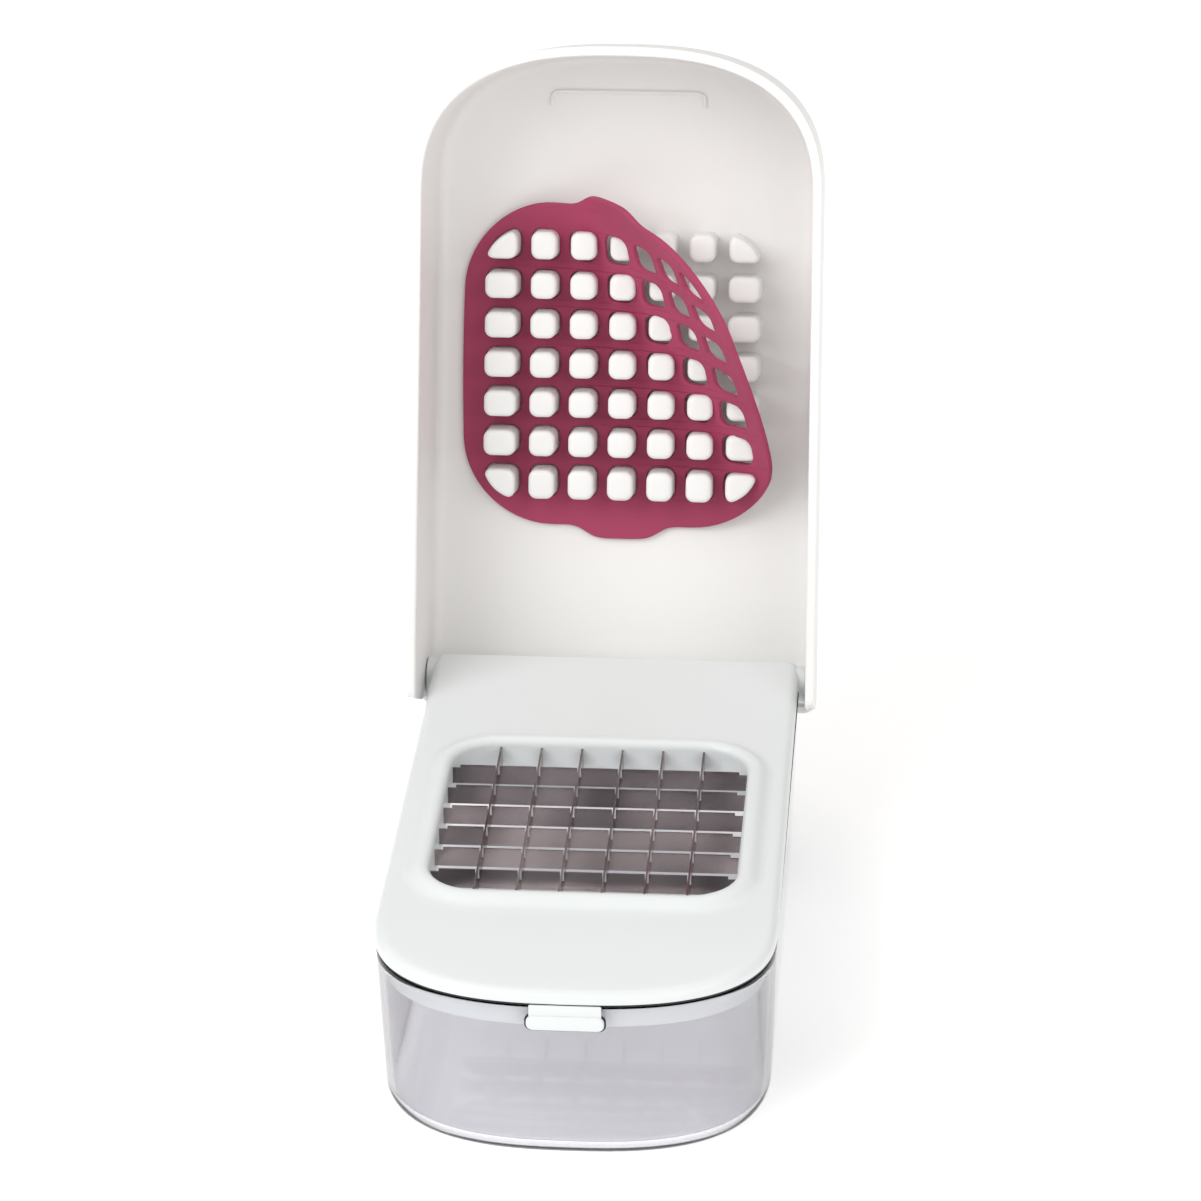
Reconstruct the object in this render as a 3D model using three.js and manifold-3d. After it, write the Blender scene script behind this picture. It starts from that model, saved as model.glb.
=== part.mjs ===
// Vegetable dicer: a clear container, a lift-off cutter top with a blade grid, and a hinged
// deep lid whose pegs push food through the blades. Millimetres, +Z up. The origin is on the
// table under the centre of the blade grid, +X is the right side and -Y the rounded front.
// The lid is shown standing open on its stop, the cutter top seated and the mat's upper right
// part peeled off the pegs.
import * as THREE from 'three';
import { mergeVertices } from 'three/addons/utils/BufferGeometryUtils.js';
import Module from 'manifold-3d';

const wasm = await Module();
wasm.setup();

// ---- driving dimensions ----
const GAP = 0.3; // space left between pieces that touch
const NOSE_POWER = 2.6; // superellipse power of the rounded front end
const PITCH = 12.7; // blade spacing, half an inch
const GRID = [-3, -2, -1, 0, 1, 2, 3]; // cell columns and rows
const BLADE_LINES = [-2.5, -1.5, -0.5, 0.5, 1.5, 2.5]; // blade positions in pitches
const BLADE_TOP = 59; // height of the cutting edges
const BLADE_HEIGHT = 6.3;
const BLADE_THICK = 0.6;
const BLADE_X = 46; // half-width of the window at blade level
const BLADE_Y0 = -46; // front end of the window at blade level
const BLADE_Y1 = 44.2; // rear end of the window at blade level
const WINDOW_RADIUS = 14.5;
const LIP_TOP = 61.7; // crest of the raised rim round the window
const FRAME_FLANGE = 5.9; // how far the rim spreads beyond the window
const FRAME_WALL = 3.6;
const FRAME_BOTTOM = 46;
const TUB_HALF = 59.2; // container half-width at its rim
const TUB_FRONT = -98;
const TUB_REAR = 97.6;
const TUB_RIM = 52.8;
const TUB_WALL = 2;
const TUB_FLOOR = 2.4;
const TUB_DRAFT = 1.7; // how much narrower the container is at its foot, each side
const TUB_FOOT_RADIUS = 6;
const COVER_HALF = 59.4;
const COVER_HALF_REAR = 59;
const COVER_FRONT = -98.6;
const COVER_BOTTOM = 54.2;
const COVER_WALL = 2.4;
const COVER_CEILING = 56.6; // underside of the cover's top
const NOSE_DEPTH = 44; // length of the rounded front end of container and cover
const HINGE_Y = 101.5;
const HINGE_Z = 53;
const BARREL_RADIUS = 6.8;
const PIN_RADIUS = 2.6;
const PIN_FIT = 0.05; // running clearance round a pin
const OPEN_DEG = 108.9; // how far the lid swings from closed to its stop
const LID_HALF = 64.4; // half-width of the lid's rim near its tip
const LID_HALF_REAR = 65.1;
const LID_FRONT = -103.3; // tip of the closed lid
const LID_REAR = 112.1;
const LID_NOSE = 48;
const LID_WALL = 3.1;
const LID_RIM = 22.3; // closed lid: height of its rim
const LID_CEILING = 69.3; // closed lid: height of its inner floor
const LID_TOP = 71.9;
const PEG_TIP = 54; // closed lid: height of the peg ends
const PEG_HALF = 4.2;
const PLATE_HALF = 48;
const MAT_HALF = 50.6;
const MAT_Y0 = -52;
const MAT_Y1 = 53.1;
const MAT_LOW = 67.2; // closed lid: the mat's exposed face
const MAT_HIGH = 69;
const MAT_TAB_HALF = 15.5;
const MAT_TAB = 4.2;
const MAT_BOW = 0.035; // share by which the mat's sides swell at the middle
const PEEL_A = [-15.72, -45.68]; // ends of the line along which the mat's corner peels
const PEEL_B = [41.23, 38.82];
const PEEL_CLEAR = 16; // distance from the peel line where the mat has cleared the peg ends
const PEEL_LOW_DEG = 42; // slope of the mat up to there
const PEEL_HIGH_DEG = 68; // slope of the mat beyond
const TAB_HALF = 10.6; // release tab
const TAB_PIN = { y: -97, z: 52.3, r: 0.7 };

// ---- solids ----
function toManifold(geometry) {
  const bare = new THREE.BufferGeometry();
  bare.setAttribute('position', geometry.getAttribute('position').clone());
  if (geometry.index) bare.setIndex(geometry.index.clone());
  const welded = mergeVertices(bare, 1e-4);
  const mesh = new wasm.Mesh({
    numProp: 3,
    vertProperties: new Float32Array(welded.getAttribute('position').array),
    triVerts: new Uint32Array(welded.index.array),
  });
  return new wasm.Manifold(mesh);
}

function toMesh(name, solid, material, matrix) {
  const m = solid.getMesh();
  const g = new THREE.BufferGeometry();
  g.setAttribute('position', new THREE.BufferAttribute(new Float32Array(m.vertProperties), 3));
  g.setIndex(new THREE.BufferAttribute(new Uint32Array(m.triVerts), 1));
  if (matrix) g.applyMatrix4(matrix);
  g.computeVertexNormals();
  const mesh = new THREE.Mesh(g, material);
  mesh.name = name;
  return mesh;
}

// A closed solid through a stack of rings with equal point counts, lowest ring first.
function loft(rings) {
  const count = rings[0].length;
  const position = rings.flat(2);
  const index = [];
  for (let k = 0; k + 1 < rings.length; k += 1) {
    for (let i = 0; i < count; i += 1) {
      const j = (i + 1) % count;
      const [a, b] = [k * count + i, k * count + j];
      const [c, d] = [(k + 1) * count + j, (k + 1) * count + i];
      index.push(a, b, c, a, c, d);
    }
  }
  for (const [k, flip] of [[0, true], [rings.length - 1, false]]) {
    const middle = [0, 1, 2].map((n) => rings[k].reduce((s, p) => s + p[n], 0) / count);
    const centre = position.length / 3;
    position.push(...middle);
    for (let i = 0; i < count; i += 1) {
      const [a, b] = [k * count + i, k * count + (i + 1) % count];
      index.push(centre, flip ? b : a, flip ? a : b);
    }
  }
  const g = new THREE.BufferGeometry();
  g.setAttribute('position', new THREE.Float32BufferAttribute(position, 3));
  g.setIndex(index);
  return toManifold(g);
}

function shapeOf(points, holes = []) {
  const shape = new THREE.Shape(points.map((p) => new THREE.Vector2(...p)));
  for (const hole of holes) {
    shape.holes.push(new THREE.Path(hole.map((p) => new THREE.Vector2(...p))));
  }
  return shape;
}

// A prism over an outline in the XY plane.
function prism(points, z0, z1, holes = []) {
  const g = new THREE.ExtrudeGeometry(shapeOf(points, holes), {
    depth: z1 - z0,
    bevelEnabled: false,
    steps: 1,
  });
  g.translate(0, 0, z0);
  return toManifold(g);
}

// A prism over a (y, z) outline, running along X.
function prismX(points, x0, x1) {
  const g = new THREE.ExtrudeGeometry(shapeOf(points), {
    depth: x1 - x0,
    bevelEnabled: false,
    steps: 1,
  });
  g.translate(0, 0, x0);
  g.applyMatrix4(new THREE.Matrix4().makeBasis(
    new THREE.Vector3(0, 1, 0),
    new THREE.Vector3(0, 0, 1),
    new THREE.Vector3(1, 0, 0),
  ));
  return toManifold(g);
}

function box(x0, x1, y0, y1, z0, z1) {
  const g = new THREE.BoxGeometry(x1 - x0, y1 - y0, z1 - z0);
  g.translate((x0 + x1) / 2, (y0 + y1) / 2, (z0 + z1) / 2);
  return toManifold(g);
}

function cylinderX(x0, x1, y, z, r, segments = 24) {
  const g = new THREE.CylinderGeometry(r, r, x1 - x0, segments);
  g.rotateZ(Math.PI / 2);
  g.translate((x0 + x1) / 2, y, z);
  return toManifold(g);
}

// ---- outlines ----
// Rounded front, straight sides, nearly square rear; counter-clockwise from above.
function plan(halfFront, halfRear, yFront, yRear, nose, rearRadius = 3) {
  const points = [];
  for (const [side, turn] of [[1, 0], [-1, 1]]) {
    for (let i = 0; i <= 3; i += 1) {
      const a = (turn + i / 3) * Math.PI / 2;
      points.push([
        side * (halfRear - rearRadius) + rearRadius * Math.cos(a),
        yRear - rearRadius + rearRadius * Math.sin(a),
      ]);
    }
  }
  const steps = 28;
  for (let i = 0; i <= steps; i += 1) {
    const a = Math.PI * (1 + i / steps);
    const [c, s] = [Math.cos(a), Math.sin(a)];
    points.push([
      halfFront * Math.sign(c) * Math.abs(c) ** (2 / NOSE_POWER),
      yFront + nose - nose * Math.abs(s) ** (2 / NOSE_POWER),
    ]);
  }
  return points;
}

function roundRect(x0, x1, y0, y1, r, segments = 5) {
  const points = [];
  const corners = [[x1 - r, y1 - r, 0], [x0 + r, y1 - r, 1], [x0 + r, y0 + r, 2], [x1 - r, y0 + r, 3]];
  for (const [cx, cy, turn] of corners) {
    for (let i = 0; i <= segments; i += 1) {
      const a = (turn + i / segments) * Math.PI / 2;
      points.push([cx + r * Math.cos(a), cy + r * Math.sin(a)]);
    }
  }
  return points;
}

const atHeight = (points, z) => points.map(([x, y]) => [x, y, z]);

const windowRing = (grow, z) => atHeight(
  roundRect(
    -BLADE_X - grow,
    BLADE_X + grow,
    BLADE_Y0 - grow,
    BLADE_Y1 + grow,
    WINDOW_RADIUS + grow,
    6,
  ),
  z,
);

// ---- finishes ----
const finish = (color, roughness, metalness = 0) => (
  new THREE.MeshStandardMaterial({ color, roughness, metalness })
);
const clear = new THREE.MeshStandardMaterial({
  color: '#dcdce6',
  roughness: 0.08,
  metalness: 0,
  transparent: true,
  opacity: 0.35,
});
const whitePlastic = '#e9ebee';

const group = new THREE.Group();
group.name = 'vegetable_dicer';

// ---- container ----
function tubRing(z, inset) {
  const lean = TUB_DRAFT * (1 - z / TUB_RIM);
  const total = inset + lean;
  return atHeight(
    plan(
      TUB_HALF - total,
      TUB_HALF - total,
      TUB_FRONT + total,
      TUB_REAR - total,
      NOSE_DEPTH - inset,
      Math.max(1.5, 5 - inset),
    ),
    z,
  );
}

const tubOuter = [90, 60, 30, 0].map((deg) => {
  const a = deg * Math.PI / 180;
  return tubRing(TUB_FOOT_RADIUS * (1 - Math.sin(a)), TUB_FOOT_RADIUS * (1 - Math.cos(a)));
});
tubOuter.push(tubRing(TUB_RIM, 0));
const tubInner = [90, 60, 30, 0].map((deg) => {
  const a = deg * Math.PI / 180;
  const r = TUB_FOOT_RADIUS - 1.6;
  return tubRing(TUB_FLOOR + r * (1 - Math.sin(a)), TUB_WALL + r * (1 - Math.cos(a)));
});
tubInner.push(tubRing(TUB_RIM + 5, TUB_WALL));
// The rim drops at the front centre to make room for the release tab's pivot.
const rimNotch = box(-11.4, 11.4, TUB_FRONT - 3, TUB_FRONT + 4, 50.3, TUB_RIM + 3);
const tub = loft(tubOuter).subtract(loft(tubInner)).subtract(rimNotch);
group.add(toMesh('container_tub', tub, clear));

// ---- gasket between container and cover ----
const seal = prism(
  plan(TUB_HALF + 0.1, TUB_HALF + 0.1, COVER_FRONT + 0.25, TUB_REAR, NOSE_DEPTH),
  TUB_RIM + GAP,
  COVER_BOTTOM - GAP,
  [plan(TUB_HALF - 2.3, TUB_HALF - 2.3, TUB_FRONT + 2.1, TUB_REAR - 2.1, NOSE_DEPTH - 2.2)],
).subtract(box(-11.4, 11.4, -110, -90, 40, 60));
group.add(toMesh('seal_gasket', seal, finish('#17171a', 0.6)));

// ---- cover ----
// Each row: side inset, front inset, height. The top is gently domed towards the window.
const coverSteps = [
  [0, 0, COVER_BOTTOM],
  [0.15, 0.15, 55.7],
  [0.7, 0.7, 56.8],
  [1.9, 2.2, 57.7],
  [4, 8, 58.3],
  [5.6, 20, 58.9],
  [6.6, 34, 59.3],
];
const coverOuter = coverSteps.map(([side, front, z]) => atHeight(
  plan(
    COVER_HALF - side,
    COVER_HALF_REAR - side,
    COVER_FRONT + front,
    HINGE_Y,
    NOSE_DEPTH - Math.min(front, 20),
    0.4,
  ),
  z,
));
const coverHollow = prism(
  plan(
    COVER_HALF - COVER_WALL,
    COVER_HALF_REAR - COVER_WALL + 0.4,
    COVER_FRONT + COVER_WALL,
    TUB_REAR - TUB_WALL + 0.1,
    NOSE_DEPTH - 2,
    2.4,
  ),
  50,
  COVER_CEILING,
);
const barrel = cylinderX(-COVER_HALF_REAR, COVER_HALF_REAR, HINGE_Y, HINGE_Z, BARREL_RADIUS, 40);
const hingeBoss = (side) => cylinderX(
  side > 0 ? 57 : -61.2,
  side > 0 ? 61.2 : -57,
  HINGE_Y,
  HINGE_Z,
  6,
  28,
);
const pinBore = (side) => cylinderX(
  side > 0 ? 50 : -62.5,
  side > 0 ? 62.5 : -50,
  HINGE_Y,
  HINGE_Z,
  PIN_RADIUS + PIN_FIT,
);
const tabLug = (x0, x1) => box(x0, x1, -98.2, -95.9, 51, COVER_CEILING + 0.5);
let cover = loft(coverOuter).add(barrel);
cover = cover.add(hingeBoss(1)).add(hingeBoss(-1));
cover = cover.subtract(box(-70, 70, 80, TUB_REAR + 0.5, 30, COVER_BOTTOM));
cover = cover.subtract(coverHollow);
cover = cover.add(tabLug(8.4, 10.8)).add(tabLug(-10.8, -8.4));
cover = cover.subtract(cylinderX(-12, 12, TAB_PIN.y, TAB_PIN.z, TAB_PIN.r + PIN_FIT, 12));
cover = cover.subtract(pinBore(1)).subtract(pinBore(-1));
cover = cover.subtract(loft([
  windowRing(FRAME_FLANGE + GAP, 50),
  windowRing(FRAME_FLANGE + GAP, 65),
]));
group.add(toMesh('cover_shell', cover, finish(whitePlastic, 0.38)));

// ---- skirt under the cover: a shallow band that grows deep towards the rear ----
const skirtHalf = TUB_HALF - TUB_WALL - 0.6;
const skirtOutline = (inset) => plan(
  skirtHalf - inset,
  skirtHalf - inset,
  TUB_FRONT + TUB_WALL + 0.7 + inset,
  TUB_REAR - TUB_WALL - 0.6 - inset,
  NOSE_DEPTH - 2.4 - inset,
  3,
);
const skirtLean = (z, inset) => {
  const lean = inset + TUB_DRAFT * (1 - z / TUB_RIM) * 0.9;
  return atHeight(skirtOutline(Math.max(lean, inset)), z);
};
const belowSkirt = prismX([
  [-120, 0],
  [96, 0],
  [93, 14],
  [88, 20],
  [36, 44.6],
  [30, 45.2],
  [-120, 45.2],
], -70, 70);
const skirt = loft([
  skirtLean(13, 0),
  skirtLean(TUB_RIM, 0),
  atHeight(skirtOutline(0), COVER_CEILING - GAP),
])
  .subtract(loft([skirtLean(10, 1.7), skirtLean(TUB_RIM, 1.7), atHeight(skirtOutline(1.7), 60)]))
  .subtract(belowSkirt)
  .subtract(box(-12, 12, -99, -94.6, 49, 60));
group.add(toMesh('inner_skirt', skirt, finish(whitePlastic, 0.42)));

// ---- blade frame: the raised rim round the window and the wall that holds the blades ----
const frameOuter = loft([
  windowRing(FRAME_WALL, FRAME_BOTTOM),
  windowRing(FRAME_WALL, COVER_CEILING + 0.3),
  windowRing(FRAME_FLANGE, COVER_CEILING + 0.6),
  windowRing(FRAME_FLANGE, 59.4),
  windowRing(FRAME_FLANGE - 0.4, 60.6),
  windowRing(FRAME_FLANGE - 1.3, LIP_TOP - 0.2),
  windowRing(FRAME_FLANGE - 2.2, LIP_TOP),
]);
const frameInner = loft([
  windowRing(0.6, FRAME_BOTTOM - 2),
  windowRing(0, 54),
  windowRing(0, BLADE_TOP + 0.4),
  windowRing(0.35, 60.5),
  windowRing(0.9, 61.2),
  windowRing(1.7, 61.6),
  windowRing(2.2, LIP_TOP + 0.01),
  windowRing(2.2, LIP_TOP + 3),
]);
let frame = frameOuter.subtract(frameInner);
const slotHalf = BLADE_THICK / 2 + GAP;
const slotLow = BLADE_TOP - BLADE_HEIGHT - GAP;
for (const line of BLADE_LINES) {
  const at = line * PITCH;
  const slotTop = BLADE_TOP + 0.3;
  frame = frame.subtract(
    box(at - slotHalf, at + slotHalf, BLADE_Y0 - 2, BLADE_Y1 + 2, slotLow, slotTop),
  );
  frame = frame.subtract(
    box(-BLADE_X - 2, BLADE_X + 2, at - slotHalf, at + slotHalf, slotLow, slotTop),
  );
}
group.add(toMesh('blade_frame', frame, finish(whitePlastic, 0.38)));

// ---- blades: strips with half-lap slots where they cross ----
// Long blades are slotted from below, cross blades from above.
function bladeProfile(start, end, fromBelow, endStep) {
  const low = BLADE_TOP - BLADE_HEIGHT;
  const middle = BLADE_TOP - BLADE_HEIGHT / 2;
  const stop = fromBelow ? middle + GAP / 2 : middle - GAP / 2;
  const edge = fromBelow ? low : BLADE_TOP;
  const cuts = [];
  for (const line of BLADE_LINES) {
    const at = line * PITCH;
    cuts.push([at - slotHalf, edge], [at - slotHalf, stop]);
    cuts.push([at + slotHalf, stop], [at + slotHalf, edge]);
  }
  if (fromBelow) {
    return [[start, low], ...cuts, [end, low], [end, BLADE_TOP], [start, BLADE_TOP]];
  }
  const stepped = [
    [end, BLADE_TOP - endStep],
    [end - 4.3, BLADE_TOP - endStep],
    [end - 4.3, BLADE_TOP],
  ];
  const steppedStart = [
    [start + 4.3, BLADE_TOP],
    [start + 4.3, BLADE_TOP - endStep],
    [start, BLADE_TOP - endStep],
  ];
  return [[start, low], [end, low], ...stepped, ...cuts.reverse(), ...steppedStart];
}

const steel = () => finish('#c9cdd1', 0.22, 1);
const longProfile = bladeProfile(BLADE_Y0 - 1.7, BLADE_Y1 + 1.7, true, 0);
const crossProfile = bladeProfile(-BLADE_X - 1.7, BLADE_X + 1.7, false, 1);
BLADE_LINES.forEach((line, i) => {
  const at = line * PITCH;
  const blade = prismX(longProfile, at - BLADE_THICK / 2, at + BLADE_THICK / 2);
  group.add(toMesh(`long_blade_${i + 1}`, blade, steel()));
});
BLADE_LINES.forEach((line, i) => {
  const at = line * PITCH;
  const g = new THREE.ExtrudeGeometry(shapeOf(crossProfile), {
    depth: BLADE_THICK,
    bevelEnabled: false,
    steps: 1,
  });
  g.rotateX(Math.PI / 2);
  g.translate(0, at + BLADE_THICK / 2, 0);
  group.add(toMesh(`cross_blade_${i + 1}`, toManifold(g), steel()));
});

// ---- release tab at the front, swinging on a pin between two lugs under the cover ----
const tabPlate = prismX([
  [-99.2, 45.7],
  [-99.45, 46.2],
  [-99.45, 50],
  [-99.2, 50.6],
  [-99.2, 53],
  [-99, 53.4],
  [-98.4, 53.4],
  [-98.4, 45.7],
], -TAB_HALF, TAB_HALF);
const tabKnuckle = cylinderX(-8.1, 8.1, TAB_PIN.y, TAB_PIN.z, 1.1, 18)
  .add(box(-8.1, 8.1, -98.6, TAB_PIN.y, 51.3, 53.3));
const tabBore = cylinderX(-9, 9, TAB_PIN.y, TAB_PIN.z, TAB_PIN.r + PIN_FIT, 12);
const tabCorners = prism(roundRect(-TAB_HALF, TAB_HALF, -101, -95, 0.8, 2), 40, 56);
const tab = tabPlate.intersect(tabCorners).add(tabKnuckle).subtract(tabBore);
group.add(toMesh('release_tab', tab, finish(whitePlastic, 0.4)));
const tabPin = cylinderX(-10.6, 10.6, TAB_PIN.y, TAB_PIN.z, TAB_PIN.r, 12);
group.add(toMesh('tab_pin', tabPin, finish('#b9bcc0', 0.3, 1)));

// ---- lid pieces: modelled closed, then swung open about the hinge axis ----
const swing = new THREE.Matrix4().makeTranslation(0, HINGE_Y, HINGE_Z)
  .multiply(new THREE.Matrix4().makeRotationX(-OPEN_DEG * Math.PI / 180))
  .multiply(new THREE.Matrix4().makeTranslation(0, -HINGE_Y, -HINGE_Z));

const lidRing = (z, inset, front = inset) => atHeight(
  plan(
    LID_HALF - inset,
    LID_HALF_REAR - inset,
    LID_FRONT + front,
    LID_REAR - inset,
    LID_NOSE - Math.min(inset, 3),
    Math.max(1.2, 5 - inset),
  ),
  z,
);
const lidOuter = loft([
  lidRing(LID_RIM, 0.25),
  lidRing(LID_RIM + 0.7, 0),
  lidRing(60, 0.45),
  lidRing(66.5, 0.65),
  lidRing(69.2, 1.3),
  lidRing(70.9, 2.9),
  lidRing(LID_TOP, 6),
  lidRing(LID_TOP + 0.7, 20),
  lidRing(LID_TOP + 1, 34),
]);
const lidCavityRing = (z, inset) => atHeight(
  plan(
    LID_HALF - inset - 0.5,
    LID_HALF_REAR - inset,
    LID_FRONT + inset - 0.3,
    LID_REAR - 2.6 - Math.max(0, inset - 3.7),
    LID_NOSE - 3,
    2.5,
  ),
  z,
);
const lidInner = loft([
  lidCavityRing(LID_RIM - 3, LID_WALL),
  lidCavityRing(66.2, LID_WALL + 0.6),
  lidCavityRing(68.2, LID_WALL + 1.3),
  lidCavityRing(LID_CEILING, LID_WALL + 3.4),
]);
// Side view of what is open behind the hinge: the ears end in a slope from axis to rim.
const behindEars = prismX([
  [LID_REAR + 10, 20],
  [HINGE_Y + 2, 20],
  [HINGE_Y + 2.6, 24],
  [HINGE_Y + 6.6, 46],
  [HINGE_Y + 7.6, 49.5],
  [HINGE_Y + 8, HINGE_Z],
  [HINGE_Y + 8, 59],
  [LID_REAR + 10, 59],
].reverse(), -80, 80);
const earBore = (side) => cylinderX(
  side > 0 ? 60 : -64,
  side > 0 ? 64 : -60,
  HINGE_Y,
  HINGE_Z,
  PIN_RADIUS + PIN_FIT,
);
const recessHalf = PLATE_HALF + GAP;
const plateRecess = prism(
  roundRect(-recessHalf, recessHalf, -recessHalf, recessHalf, 12.3, 5),
  66,
  70.8,
);
const catchRib = box(-24.7, 24.7, -87.5, -86.5, 68.3, 70)
  .add(box(-24.7, -23.7, -87, -82.5, 68.3, 70))
  .add(box(23.7, 24.7, -87, -82.5, 68.3, 70));
const lid = lidOuter.subtract(lidInner).subtract(behindEars)
  .subtract(earBore(1)).subtract(earBore(-1)).subtract(plateRecess).add(catchRib);
group.add(toMesh('lid_shell', lid, finish(whitePlastic, 0.36), swing));

// ---- pusher grid: a plate let into the lid's floor with hollow pegs, open at the back ----
// Pegs at the rim of the grid reach out towards the window's edge.
function pegBounds(col, row) {
  const [x, y] = [col * PITCH, row * PITCH];
  return {
    x0: x - PEG_HALF - (col === -3 ? 2 : 0),
    x1: x + PEG_HALF + (col === 3 ? 2 : 0),
    y0: y - PEG_HALF - (row === -3 ? 0.6 : 0),
    y1: y + PEG_HALF + (row === 3 ? 1.1 : 0),
  };
}
const pegRing = (p, grow, radius, z) => atHeight(
  roundRect(p.x0 - grow, p.x1 + grow, p.y0 - grow, p.y1 + grow, radius, 2),
  z,
);
let pegs = null;
let pegHollows = null;
for (const col of GRID) {
  for (const row of GRID) {
    const p = pegBounds(col, row);
    const peg = loft([
      pegRing(p, 0, 2.3, PEG_TIP),
      pegRing(p, 0.15, 2.3, LID_CEILING + 0.4),
    ]);
    const hollow = box(p.x0 + 1.3, p.x1 - 1.3, p.y0 + 1.3, p.y1 - 1.3, PEG_TIP + 1.6, 72);
    const corner = Math.abs(col) === 3 && Math.abs(row) === 3;
    pegs = pegs ? pegs.add(peg) : peg;
    if (!corner) pegHollows = pegHollows ? pegHollows.add(hollow) : hollow;
  }
}
const pegLimit = prism(
  roundRect(-3 * PITCH - PEG_HALF - 2.2, 3 * PITCH + PEG_HALF + 2.2, -43.3, 43.8, 12.5, 6),
  50,
  75,
);
const plate = prism(
  roundRect(-PLATE_HALF, PLATE_HALF, -PLATE_HALF, PLATE_HALF, 12, 5),
  LID_CEILING,
  70.5,
);
const pusher = pegs.intersect(pegLimit).add(plate).subtract(pegHollows);
group.add(toMesh('pusher_grid', pusher, finish(whitePlastic, 0.4), swing));

// ---- hinge pins ----
for (const [name, side] of [['hinge_pin_left', -1], ['hinge_pin_right', 1]]) {
  const [a, b] = side > 0 ? [50.3, 63.7] : [-63.7, -50.3];
  const pin = cylinderX(a, b, HINGE_Y, HINGE_Z, PIN_RADIUS);
  group.add(toMesh(name, pin, finish('#d9dbde', 0.35)));
}

// ---- cleaning mat: a thin sheet with a hole round every peg and a pull tab at two edges ----
function matOutline() {
  const r = 26;
  const points = [];
  const arc = (cx, cy, turn) => {
    for (let i = 0; i <= 7; i += 1) {
      const a = (turn + i / 7) * Math.PI / 2;
      points.push([cx + r * Math.cos(a), cy + r * Math.sin(a)]);
    }
  };
  const tabEdge = (y, out, dir) => {
    for (const [x, reach] of [[MAT_TAB_HALF, 0], [12.5, 0.6], [8.5, 1]]) {
      points.push([dir * x, y + out * reach]);
    }
    for (const [x, reach] of [[-8.5, 1], [-12.5, 0.6], [-MAT_TAB_HALF, 0]]) {
      points.push([dir * x, y + out * reach]);
    }
  };
  arc(MAT_HALF - r, MAT_Y1 - r, 0);
  tabEdge(MAT_Y1, MAT_TAB, 1);
  arc(-MAT_HALF + r, MAT_Y1 - r, 1);
  for (const y of [14, 0, -14]) points.push([-MAT_HALF, y]);
  arc(-MAT_HALF + r, MAT_Y0 + r, 2);
  tabEdge(MAT_Y0, -MAT_TAB, -1);
  arc(MAT_HALF - r, MAT_Y0 + r, 3);
  for (const y of [-14, 0, 14]) points.push([MAT_HALF, y]);
  return points.map(([x, y]) => [x * (1 + MAT_BOW * Math.max(0, 1 - (y / MAT_Y1) ** 2)), y]);
}
const matSheet = prism(matOutline(), MAT_LOW, MAT_HIGH);
let matHoles = null;
for (const col of GRID) {
  for (const row of GRID) {
    const p = pegBounds(col, row);
    const hole = prism(
      roundRect(p.x0 - 0.45, p.x1 + 0.45, p.y0 - 0.45, p.y1 + 0.45, 2.6, 2),
      60,
      75,
    );
    matHoles = matHoles ? matHoles.add(hole) : hole;
  }
}
const holeLimit = prism(roundRect(-45.4, 45.4, -44, 44.5, 13, 6), 58, 77);
const mat = matSheet.subtract(matHoles.intersect(holeLimit));
const peelLength = Math.hypot(PEEL_B[0] - PEEL_A[0], PEEL_B[1] - PEEL_A[1]);
const along = [(PEEL_B[0] - PEEL_A[0]) / peelLength, (PEEL_B[1] - PEEL_A[1]) / peelLength];
const across = [along[1], -along[0]]; // towards the corner that peels
function sideOfPeel(from, to) {
  const at = (s, t) => [
    PEEL_A[0] + along[0] * s + across[0] * t,
    PEEL_A[1] + along[1] * s + across[1] * t,
  ];
  return prism([at(-150, from), at(-150, to), at(250, to), at(250, from)], 60, 75);
}
const matMain = mat.intersect(sideOfPeel(-200, -GAP / 2));
// The peeled part rises in two flat stretches. Up to PEEL_CLEAR its holes stay in line with the
// pegs, as the sheet stretches; beyond, it keeps its length and folds in over the peg ends.
function peel(solid, start, shrink, slope) {
  const m = solid.getMesh();
  const v = new Float32Array(m.vertProperties);
  for (let i = 0; i < v.length; i += 3) {
    const r = (v[i] - PEEL_A[0]) * across[0] + (v[i + 1] - PEEL_A[1]) * across[1];
    const beyond = r - start.r;
    const shift = start.r + beyond * shrink - r;
    v[i] += across[0] * shift;
    v[i + 1] += across[1] * shift;
    v[i + 2] -= start.h + beyond * slope;
  }
  return new wasm.Manifold(new wasm.Mesh({
    numProp: 3,
    vertProperties: v,
    triVerts: new Uint32Array(m.triVerts),
  }));
}
const lowSlope = Math.tan(PEEL_LOW_DEG * Math.PI / 180);
const highTurn = PEEL_HIGH_DEG * Math.PI / 180;
const overlap = 0.02;
const lowPart = mat.intersect(sideOfPeel(GAP / 2, PEEL_CLEAR + overlap));
const highPart = mat.intersect(sideOfPeel(PEEL_CLEAR, 200));
const matCorner = peel(lowPart, { r: 0, h: 0 }, 1, lowSlope).add(peel(
  highPart,
  { r: PEEL_CLEAR, h: PEEL_CLEAR * lowSlope },
  Math.cos(highTurn),
  Math.sin(highTurn),
));
group.add(toMesh('cleaning_mat', matMain, finish('#a83a5e', 0.55), swing));
group.add(toMesh('cleaning_mat_corner', matCorner, finish('#a83a5e', 0.55), swing));

export default group;
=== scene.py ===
"""Vegetable dicer with its lid standing open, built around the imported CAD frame.

Sizes are in millimetres until a mesh is made. Lid pieces are drawn with the lid closed, as the
CAD part does, and swung open about the hinge.
"""
import math

import bmesh
import bpy
import numpy as np
from mathutils import Matrix, Vector


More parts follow.
